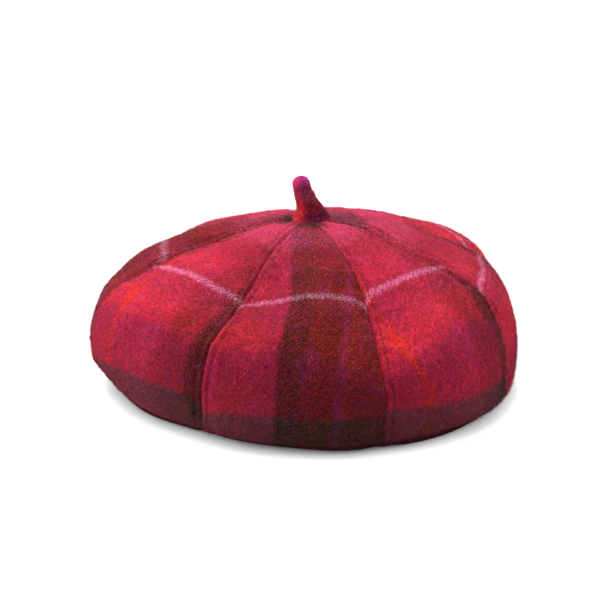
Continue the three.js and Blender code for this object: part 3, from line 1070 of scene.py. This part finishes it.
def build_gores():
    materials = {slot: plaid_material(slot, warps) for slot, warps in WARPS.items()}
    gores = [plain_gore(index) for index in range(len(GORES))]
    share_seam_normals(gores)
    for index, gore in enumerate(gores):
        shape_gore(index, gore)
        right, along = drifted(index, gore)
        name = GORES[index]["name"]
        slot = GORES[index]["slot"]
        mesh = add_wall(name + "_cloth", gore["outer"], gore["inner"], right, along)
        add_piece(name + "_cloth", mesh, materials[slot], [name])
        add_nap(index, gore, right, along)
        add_long_fibres(index, gore)
        add_stitches(index, gore)


def ring_mesh(name, rings, closed_ends=()):
    """A mesh of rings of points, each joined to the next. closed_ends caps its first or last."""
    count, sides = rings.shape[:2]
    faces = []
    for ring in range(count - 1):
        for side in range(sides):
            here = ring * sides + side
            beside = ring * sides + (side + 1) % sides
            faces.append((here, beside, beside + sides, here + sides))
    if "first" in closed_ends:
        faces.append(tuple(reversed(range(sides))))
    if "last" in closed_ends:
        faces.append(tuple(range((count - 1) * sides, count * sides)))
    mesh = bpy.data.meshes.new(name)
    mesh.from_pydata(rings.reshape(-1, 3).tolist(), [], faces)
    return mesh


STALK_SIDES = 96
STALK_RINGS = 110
STALK_ROUGHNESS = 0.35 * MM
STALK_MAP_RADIUS = 7 * MM
STALK_NAP = 2500
STALK_NAP_LENGTH = (1.0 * MM, 2.6 * MM)
STALK_SEED = 300
# Below 1 this crowds the stalk's rings towards its tip.
STALK_RING_SPACING = 0.9
stalk_noise = even_noise(21, 4 * MM, 12 * MM)

# The stalk's cloth: stripes round it from its front, and down it from its tip, in millimetres
STALK_WARPS = [
    {"to": -3, "yarn": "orange_red", "soft": 5},
    {"to": 14, "yarn": "aubergine", "soft": 4},
    {"to": 26, "yarn": "plum", "soft": 3},
]
STALK_WEFTS = [
    {"to": 8, "yarn": "magenta", "cover": 0.85, "soft": 4},
    {"to": 19, "yarn": "heather", "cover": 0.75, "soft": 5},
    {"to": 26, "yarn": "orange_red", "cover": 0.45, "soft": 3},
    {"to": 40, "yarn": "plum", "cover": 0.4, "soft": 2},
]
# The stalk's own height, which is a little less than that of the frame's plain one
STALK_SHARE = 0.94
# How far its foot sinks below the crown's top and flares under the gores' upper ends
STALK_SUNK = 1.6 * MM
STALK_FLARE = 1.4 * MM
STALK_FLARE_SHARE = 0.07


def stalk_grid():
    """The stalk's smooth surface from its tip down, and how far round it each column lies."""
    up = np.linspace(0, 1, STALK_RINGS) ** STALK_RING_SPACING
    places = [section["up"] for section in STALK_SECTIONS]
    radius = smooth_curve(places, [section["out"] for section in STALK_SECTIONS])(up)[0]
    radius = np.maximum(radius, 0.01) * (STALK_RING_RADIUS - PIECE_GAP)
    radius += STALK_FLARE * bell(up, STALK_FLARE_SHARE)
    lean = smooth_curve(places, [section["lean"] for section in STALK_SECTIONS])(up)[0]
    # Turns start at the back, so that the cloth map has its cut there.
    turn = np.linspace(-0.5, 0.5, STALK_SIDES + 1)
    angle = 2 * math.pi * turn
    height = STALK_HEIGHT * STALK_SHARE + STALK_SUNK
    x = OPENING_CENTRE[0] + top_shift_at(STALK_RING_RADIUS) - STALK_LEAN * lean[:, None]
    points = np.stack(
        [
            x + radius[:, None] * np.sin(angle)[None, :],
            OPENING_CENTRE[1] - radius[:, None] * np.cos(angle)[None, :],
            CROWN_HEIGHT - STALK_SUNK + np.repeat(up[:, None] * height, STALK_SIDES + 1, axis=1),
        ],
        axis=-1,
    )[::-1]
    return points, turn


def map_stalk(mesh, right, along):
    """The stalk's cloth map, which has its cut at the back."""
    layer = mesh.uv_layers.new(name="Cloth")
    corners = np.zeros((len(mesh.loops), 2), dtype=np.float32)
    loop = 0
    for polygon in mesh.polygons:
        for vertex in polygon.vertices:
            ring, side = divmod(vertex, STALK_SIDES)
            # The last column of faces reaches the cut's far side.
            wraps = side == 0 and max(polygon.vertices) % STALK_SIDES == STALK_SIDES - 1
            column = STALK_SIDES if wraps and len(polygon.vertices) == 4 else side
            corners[loop] = (right[ring, column], along[ring, column])
            loop += 1
    layer.data.foreach_set("uv", (corners * MAP_PER_METRE).ravel())


def build_stalk():
    points, turn = stalk_grid()
    normals = grid_normals(points)
    normals[0] = (0, 0, 1)
    closing = unit(normals[:, 0] + normals[:, -1])
    normals[:, 0] = closing
    normals[:, -1] = closing
    outer = points + normals * (STALK_ROUGHNESS * stalk_noise(points))[..., None]
    right = turn * 2 * math.pi * STALK_MAP_RADIUS
    right, along = np.meshgrid(right, line_distances(points[:, 0]))
    mesh = ring_mesh("stalk_cloth", outer[:, :-1], ("first", "last"))
    map_stalk(mesh, right, along)
    mesh.polygons.foreach_set("use_smooth", [True] * len(mesh.polygons))
    material = plaid_material("heather_wool", STALK_WARPS, STALK_WEFTS)
    add_piece("stalk_cloth", mesh, material, ["stalk"])
    random = np.random.default_rng(STALK_SEED)
    take = scattered(random, outer, STALK_NAP)
    found = unit(take(normals))
    directions = brushed_up(random, found)
    lengths = random.uniform(*STALK_NAP_LENGTH, STALK_NAP)
    yarns = fibre_yarns(random, STALK_WARPS, STALK_WEFTS, take(right), take(along))
    roots = take(outer) - found * NAP_ROOT_DEPTH
    nap = spike_mesh("stalk_nap", roots, directions, lengths, yarns)
    add_piece("stalk_nap", nap, None)


# The ribbon's cross-section from its outer lower corner round, as shares of its thickness inwards
# and of its width up
BAND_SECTION = [
    {"inwards": 0.0, "up": 0.02},
    {"inwards": 0.0, "up": 0.98},
    {"inwards": 0.25, "up": 1.0},
    {"inwards": 0.75, "up": 1.0},
    {"inwards": 1.0, "up": 0.98},
    {"inwards": 1.0, "up": 0.02},
    {"inwards": 0.75, "up": 0.0},
    {"inwards": 0.25, "up": 0.0},
]
BAND_SIDES = 256
BAND_RIBS = 480
RIB_HEIGHT = 0.4 * MM
RIBBON_COLOUR = (30, 28, 30)
# The ribbon's end, which lies on the surface and shows below the front hem
TIP_FROM = (0.0232, -0.101)
TIP_TO = (0.0254, -0.1142)
TIP_WIDTH = 3.6 * MM
TIP_THICKNESS = 1.1 * MM
# The end from its start to its tip, as shares of its length, width and thickness
TIP_SECTIONS = [
    {"share": 0, "width": 1, "height": 1},
    {"share": 0.85, "width": 1, "height": 1},
    {"share": 1, "width": 0.7, "height": 0.7},
]


def ribbon_material():
    """Black ribbed ribbon: the ribs run across it, all the way round the opening."""
    material, nodes = bare_material("black_ribbon")
    place = nodes.add("ShaderNodeTexCoord").outputs["Object"]
    parts = nodes.add("ShaderNodeSeparateXYZ", {0: place})
    across = nodes.math("SUBTRACT", parts.outputs[0], float(OPENING_CENTRE[0]))
    away = nodes.math("SUBTRACT", parts.outputs[1], float(OPENING_CENTRE[1]))
    turn = nodes.math("ARCTAN2", across, away)
    ribs = nodes.math("SINE", nodes.math("MULTIPLY", turn, float(BAND_RIBS)))
    nodes.finish(
        {
            "Base Color": linear(RIBBON_COLOUR),
            "Roughness": 0.7,
            "Specular IOR Level": 0.3,
            "Normal": nodes.bump(ribs, 0.7, RIB_HEIGHT),
        }
    )
    return material


def build_headband(material):
    turn = 2 * math.pi * np.arange(BAND_SIDES) / BAND_SIDES
    rings = []
    for corner in BAND_SECTION:
        radius = OPENING_RADIUS - PIECE_GAP - corner["inwards"] * BAND_THICKNESS
        height = mix(band_low[2], band_high[2], corner["up"])
        x = OPENING_CENTRE[0] + radius * np.sin(turn)
        y = OPENING_CENTRE[1] - radius * np.cos(turn)
        rings.append(np.stack([x, y, np.full(BAND_SIDES, height)], axis=-1))
    rings.append(rings[0])
    mesh = ring_mesh("headband_ribbon", np.array(rings))
    mesh.validate()
    mesh.update()
    joined = bmesh.new()
    joined.from_mesh(mesh)
    bmesh.ops.remove_doubles(joined, verts=joined.verts, dist=1e-6)
    bmesh.ops.recalc_face_normals(joined, faces=joined.faces)
    joined.to_mesh(mesh)
    joined.free()
    add_piece("headband_ribbon", mesh, material, ["headband"])


def build_headband_end(material):
    start = Vector((*TIP_FROM, 0))
    end = Vector((*TIP_TO, 0))
    side = (end - start).cross(Vector((0, 0, 1))).normalized() * (TIP_WIDTH / 2)
    corners = ((-1, 0), (-1, 1), (1, 1), (1, 0))
    rings = []
    for section in TIP_SECTIONS:
        centre = start.lerp(end, section["share"])
        width = side * section["width"]
        height = Vector((0, 0, TIP_THICKNESS)) * section["height"]
        rings.append([centre + width * across + height * up for across, up in corners])
    tip = ring_mesh("headband_end", np.array(rings), ("first", "last"))
    tip.update()
    add_piece("headband_end", tip, material)


FLOOR_HALF_SIZE = 8
FLOOR_GREY = 0.22
FLOOR_GLOW = 0.84
# How far the floor's painted contact shadow reaches, how steep it is and how many rays it takes
CONTACT_REACH = 9 * MM
CONTACT_POWER = 0.75
CONTACT_SAMPLES = 16


def build_floor():
    size = FLOOR_HALF_SIZE
    mesh = bpy.data.meshes.new("floor")
    corners = [(-size, -size, 0), (size, -size, 0), (size, size, 0), (-size, size, 0)]
    mesh.from_pydata(corners, [], [(0, 1, 2, 3)])
    floor = add_object("floor", mesh)
    material, nodes = bare_material("floor")
    # The surface glows like a light table, and its glow is dimmed close beside what rests on it: a
    # painted contact shadow.
    inputs = {"Distance": CONTACT_REACH}
    near = nodes.add("ShaderNodeAmbientOcclusion", inputs, samples=CONTACT_SAMPLES)
    open_share = nodes.math("POWER", near.outputs["AO"], CONTACT_POWER)
    nodes.finish(
        {
            "Base Color": (*[FLOOR_GREY] * 3, 1),
            "Roughness": 0.9,
            "Specular IOR Level": 0.0,
            "Emission Color": (1, 1, 1, 1),
            "Emission Strength": nodes.math("MULTIPLY", open_share, FLOOR_GLOW),
        }
    )
    mesh.materials.append(material)


def add_lamp(name, place, width, power):
    data = bpy.data.lights.new(name, "AREA")
    data.shape = "DISK"
    data.size = width
    data.energy = power
    lamp = add_object(name, data)
    lamp.location = place
    direction = Vector(LAMP_TARGET) - Vector(place)
    lamp.rotation_euler = direction.to_track_quat("-Z", "Y").to_euler()


# Soft boxes round the hat: where each stands, its width and its power in watts
LAMPS = [
    {"name": "left", "place": (-1.5, -0.35, 0.7), "width": 0.9, "power": 40},
    {"name": "right", "place": (1.5, -0.1, 0.9), "width": 0.9, "power": 29},
    {"name": "top", "place": (-0.2, 0.1, 1.8), "width": 1.2, "power": 46},
    {"name": "back", "place": (-0.2, 1.4, 1.0), "width": 0.9, "power": 66},
]
LAMP_TARGET = (0, 0, 0.05)
SURROUNDINGS = 0.33


def build_light():
    scene = bpy.context.scene
    world = bpy.data.worlds.new("studio")
    world.use_nodes = True
    background = world.node_tree.nodes["Background"]
    background.inputs["Color"].default_value = (1, 1, 1, 1)
    background.inputs["Strength"].default_value = SURROUNDINGS
    scene.world = world
    for lamp in LAMPS:
        add_lamp(**lamp)
    scene.view_settings.view_transform = "Standard"
    scene.view_settings.look = "None"


# The camera, as worked out from the hat's outline, seams and stripes in the image
CAMERA_ELEVATION = math.radians(19.86)
CAMERA_DISTANCE = 1.1983
CAMERA_TARGET = Vector((4.3 * MM, -0.9 * MM, 50 * MM))
FOCAL_LENGTH_PX = 1919.9
TARGET_PX = (311.5, 302.6)


def build_camera():
    data = bpy.data.cameras.new("camera")
    data.sensor_width = 36
    longer = max(IMAGE_SIZE)
    data.lens = data.sensor_width * FOCAL_LENGTH_PX / longer
    data.shift_x = (IMAGE_SIZE[0] / 2 - TARGET_PX[0]) / longer
    data.shift_y = (TARGET_PX[1] - IMAGE_SIZE[1] / 2) / longer
    data.clip_end = 50
    camera = add_object("camera", data)
    back = Vector((0, -math.cos(CAMERA_ELEVATION), math.sin(CAMERA_ELEVATION)))
    turn = (-back).to_track_quat("-Z", "Y").to_matrix().to_4x4()
    place = Matrix.Translation(CAMERA_TARGET + back * CAMERA_DISTANCE)
    camera.matrix_world = place @ turn
    bpy.context.scene.camera = camera


build_camera()
build_light()
build_floor()
build_gores()
build_stalk()
ribbon = ribbon_material()
build_headband(ribbon)
build_headband_end(ribbon)
